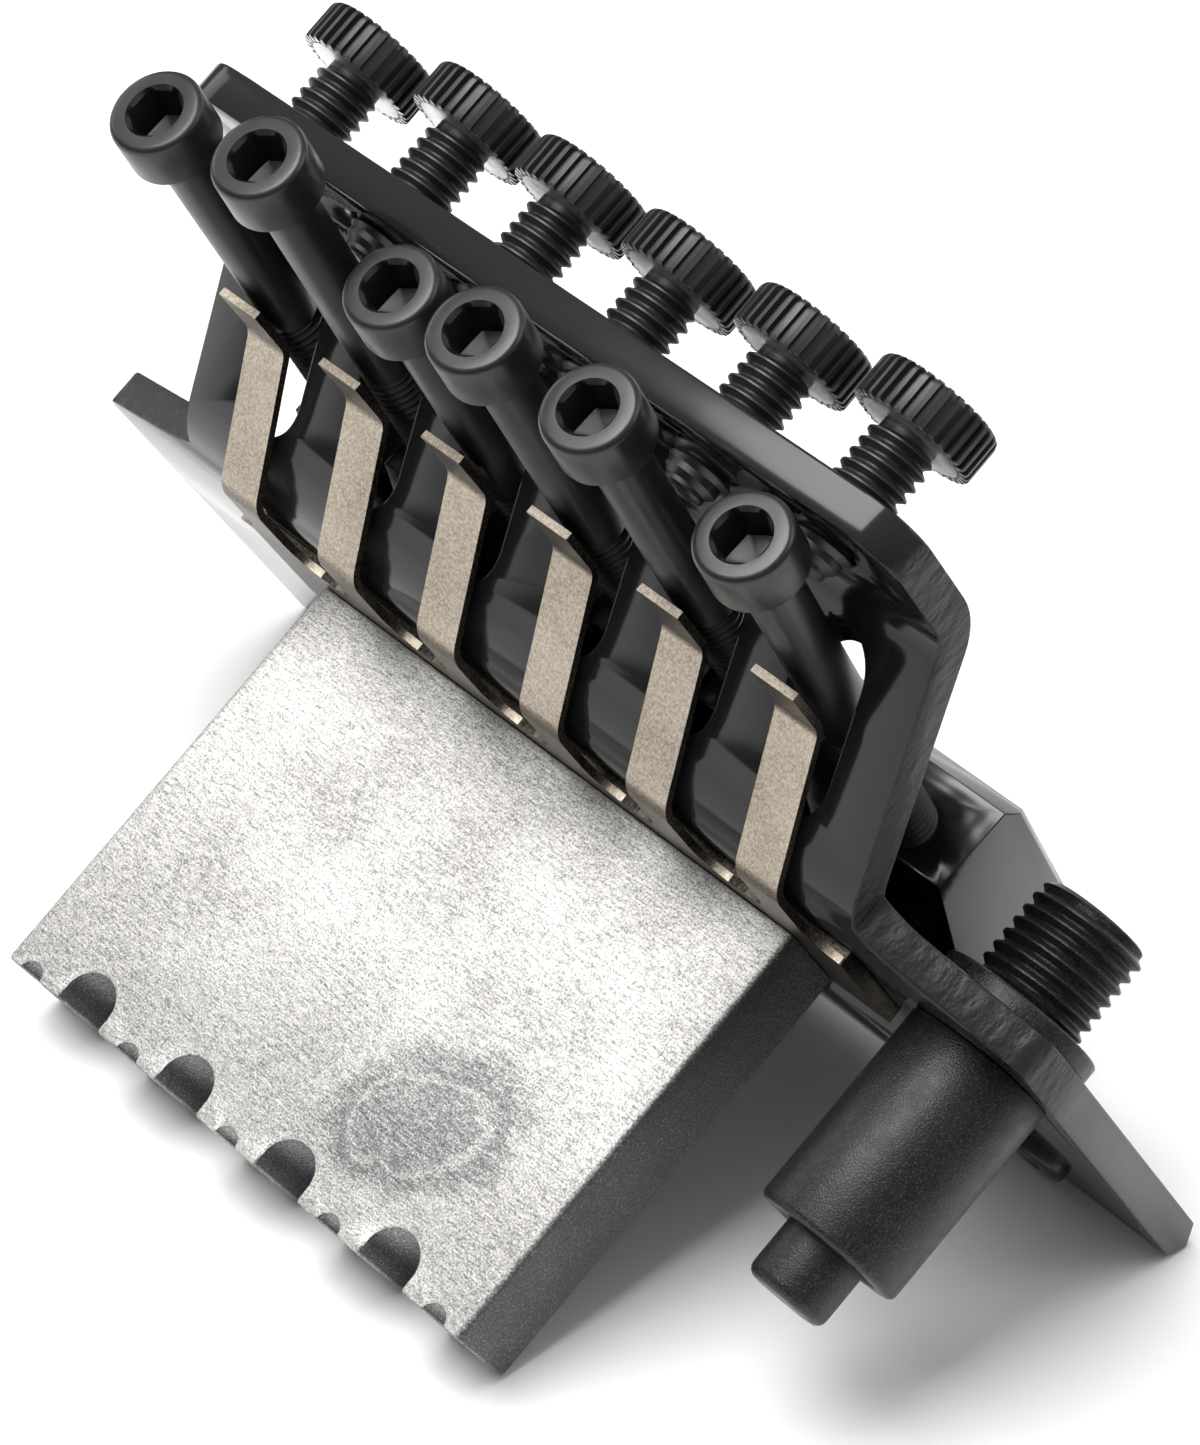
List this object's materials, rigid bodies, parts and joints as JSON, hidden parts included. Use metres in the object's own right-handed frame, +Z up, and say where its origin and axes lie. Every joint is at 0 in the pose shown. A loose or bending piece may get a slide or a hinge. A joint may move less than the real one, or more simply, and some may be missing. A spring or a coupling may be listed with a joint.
{
  "type": "guitar tremolo bridge",
  "caption": "Double-locking guitar tremolo bridge: bent plate on knife edges with a sustain block, sliding saddles, string locks, fine tuners, a leaf spring and an arm socket.",
  "frame": {"origin": "midpoint of the knife-edge line, at half the thickness of the plate", "axes": "+X to the treble side, +Y to the neck, +Z up from the guitar top"},
  "size_m": [0.0954, 0.0797, 0.0654],
  "materials": {
    "plate_black": "satin black plating",
    "screw_black": "black oxide",
    "socket_black": "matte black",
    "knob_black": "satin black plating",
    "zinc": "raw die casting, sand blasted",
    "spring_steel": "plain rolled"
  },
  "bodies": {
    "bridge_plate": {"base_plate": "plate_black", "sustain_block": "zinc", "block_screws": "screw_black", "edge_screws": "screw_black", "leaf_spring": "spring_steel", "spring_backing": "spring_steel", "arm_socket": "socket_black", "arm_socket_nut": "socket_black", "saddle_screws": "screw_black"},
    "saddle_1": {"saddle_base_1": "plate_black"},
    "lever_1": {"saddle_lever_1": "plate_black", "saddle_pin_1": "screw_black"},
    "string_lock_1": {"lock_screw_1": "screw_black", "string_clamp_1": "plate_black"},
    "tuner_1": {"fine_tuner_1": "knob_black"},
    "saddle_2": {"saddle_base_2": "plate_black"},
    "lever_2": {"saddle_lever_2": "plate_black", "saddle_pin_2": "screw_black"},
    "string_lock_2": {"lock_screw_2": "screw_black", "string_clamp_2": "plate_black"},
    "tuner_2": {"fine_tuner_2": "knob_black"},
    "saddle_3": {"saddle_base_3": "plate_black"},
    "lever_3": {"saddle_lever_3": "plate_black", "saddle_pin_3": "screw_black"},
    "string_lock_3": {"lock_screw_3": "screw_black", "string_clamp_3": "plate_black"},
    "tuner_3": {"fine_tuner_3": "knob_black"},
    "saddle_4": {"saddle_base_4": "plate_black"},
    "lever_4": {"saddle_lever_4": "plate_black", "saddle_pin_4": "screw_black"},
    "string_lock_4": {"lock_screw_4": "screw_black", "string_clamp_4": "plate_black"},
    "tuner_4": {"fine_tuner_4": "knob_black"},
    "saddle_5": {"saddle_base_5": "plate_black"},
    "lever_5": {"saddle_lever_5": "plate_black", "saddle_pin_5": "screw_black"},
    "string_lock_5": {"lock_screw_5": "screw_black", "string_clamp_5": "plate_black"},
    "tuner_5": {"fine_tuner_5": "knob_black"},
    "saddle_6": {"saddle_base_6": "plate_black"},
    "lever_6": {"saddle_lever_6": "plate_black", "saddle_pin_6": "screw_black"},
    "string_lock_6": {"lock_screw_6": "screw_black", "string_clamp_6": "plate_black"},
    "tuner_6": {"fine_tuner_6": "knob_black"}
  },
  "joints": [
    {"name": "saddle_slide_1", "type": "slide", "parent": "bridge_plate", "child": "saddle_1", "axis": [0, 1, 0], "range_m": [-0.0012, 0.0012]},
    {"name": "tuner_drive_1", "type": "slide", "parent": "bridge_plate", "child": "tuner_1", "axis": [0, 0, -1], "range_m": [-0.0004, 0.0032]},
    {"name": "lever_tilt_1", "type": "hinge", "parent": "saddle_1", "child": "lever_1", "pos_m": [-0.02675, -0.0175, 0.0048], "axis": [1, 0, 0], "range_deg": [-0.5, 3.93], "deforming": ["leaf_spring"]},
    {"name": "string_lock_1", "type": "slide", "parent": "lever_1", "child": "string_lock_1", "axis": [0, 0.9977, -0.068], "range_m": [0, 0.0028]},
    {"name": "saddle_slide_2", "type": "slide", "parent": "bridge_plate", "child": "saddle_2", "axis": [0, 1, 0], "range_m": [-0.0012, 0.0012]},
    {"name": "tuner_drive_2", "type": "slide", "parent": "bridge_plate", "child": "tuner_2", "axis": [0, 0, -1], "range_m": [-0.0002, 0.004]},
    {"name": "lever_tilt_2", "type": "hinge", "parent": "saddle_2", "child": "lever_2", "pos_m": [-0.01605, -0.0193, 0.0048], "axis": [1, 0, 0], "range_deg": [-0.26, 5.11], "deforming": ["leaf_spring"]},
    {"name": "string_lock_2", "type": "slide", "parent": "lever_2", "child": "string_lock_2", "axis": [0, 0.9963, -0.0854], "range_m": [0, 0.0028]},
    {"name": "saddle_slide_3", "type": "slide", "parent": "bridge_plate", "child": "saddle_3", "axis": [0, 1, 0], "range_m": [-0.0012, 0.0009]},
    {"name": "tuner_drive_3", "type": "slide", "parent": "bridge_plate", "child": "tuner_3", "axis": [0, 0, -1], "range_m": [-0.0004, 0.0032]},
    {"name": "lever_tilt_3", "type": "hinge", "parent": "saddle_3", "child": "lever_3", "pos_m": [-0.00535, -0.0134, 0.0048], "axis": [1, 0, 0], "range_deg": [-0.46, 3.61], "deforming": ["leaf_spring"]},
    {"name": "string_lock_3", "type": "slide", "parent": "lever_3", "child": "string_lock_3", "axis": [0, 0.9977, -0.068], "range_m": [0, 0.0024]},
    {"name": "saddle_slide_4", "type": "slide", "parent": "bridge_plate", "child": "saddle_4", "axis": [0, 1, 0], "range_m": [-0.0012, 0.0012]},
    {"name": "tuner_drive_4", "type": "slide", "parent": "bridge_plate", "child": "tuner_4", "axis": [0, 0, -1], "range_m": [-0.0004, 0.0032]},
    {"name": "lever_tilt_4", "type": "hinge", "parent": "saddle_4", "child": "lever_4", "pos_m": [0.00535, -0.0177, 0.0048], "axis": [1, 0, 0], "range_deg": [-0.5, 3.95], "deforming": ["leaf_spring"]},
    {"name": "string_lock_4", "type": "slide", "parent": "lever_4", "child": "string_lock_4", "axis": [0, 0.9977, -0.068], "range_m": [0, 0.0028]},
    {"name": "saddle_slide_5", "type": "slide", "parent": "bridge_plate", "child": "saddle_5", "axis": [0, 1, 0], "range_m": [-0.0012, 0.0012]},
    {"name": "tuner_drive_5", "type": "slide", "parent": "bridge_plate", "child": "tuner_5", "axis": [0, 0, -1], "range_m": [-0.0004, 0.0032]},
    {"name": "lever_tilt_5", "type": "hinge", "parent": "saddle_5", "child": "lever_5", "pos_m": [0.01605, -0.0177, 0.0048], "axis": [1, 0, 0], "range_deg": [-0.5, 3.95], "deforming": ["leaf_spring"]},
    {"name": "string_lock_5", "type": "slide", "parent": "lever_5", "child": "string_lock_5", "axis": [0, 0.9977, -0.068], "range_m": [0, 0.0028]},
    {"name": "saddle_slide_6", "type": "slide", "parent": "bridge_plate", "child": "saddle_6", "axis": [0, 1, 0], "range_m": [-0.0012, 0.0004]},
    {"name": "tuner_drive_6", "type": "slide", "parent": "bridge_plate", "child": "tuner_6", "axis": [0, 0, -1], "range_m": [-0.0004, 0.0032]},
    {"name": "lever_tilt_6", "type": "hinge", "parent": "saddle_6", "child": "lever_6", "pos_m": [0.02675, -0.0115, 0.0048], "axis": [1, 0, 0], "range_deg": [-0.44, 3.48], "deforming": ["leaf_spring"]},
    {"name": "string_lock_6", "type": "slide", "parent": "lever_6", "child": "string_lock_6", "axis": [0, 0.9977, -0.068], "range_m": [0, 0.0008]}
  ],
  "couplings": [
    {"joint": "lever_tilt_1", "follows": "tuner_drive_1", "rad_per_m": 21.413},
    {"joint": "lever_tilt_2", "follows": "tuner_drive_2", "rad_per_m": 22.272},
    {"joint": "lever_tilt_3", "follows": "tuner_drive_3", "rad_per_m": 19.685},
    {"joint": "lever_tilt_4", "follows": "tuner_drive_4", "rad_per_m": 21.505},
    {"joint": "lever_tilt_5", "follows": "tuner_drive_5", "rad_per_m": 21.505},
    {"joint": "lever_tilt_6", "follows": "tuner_drive_6", "rad_per_m": 18.975}
  ]
}
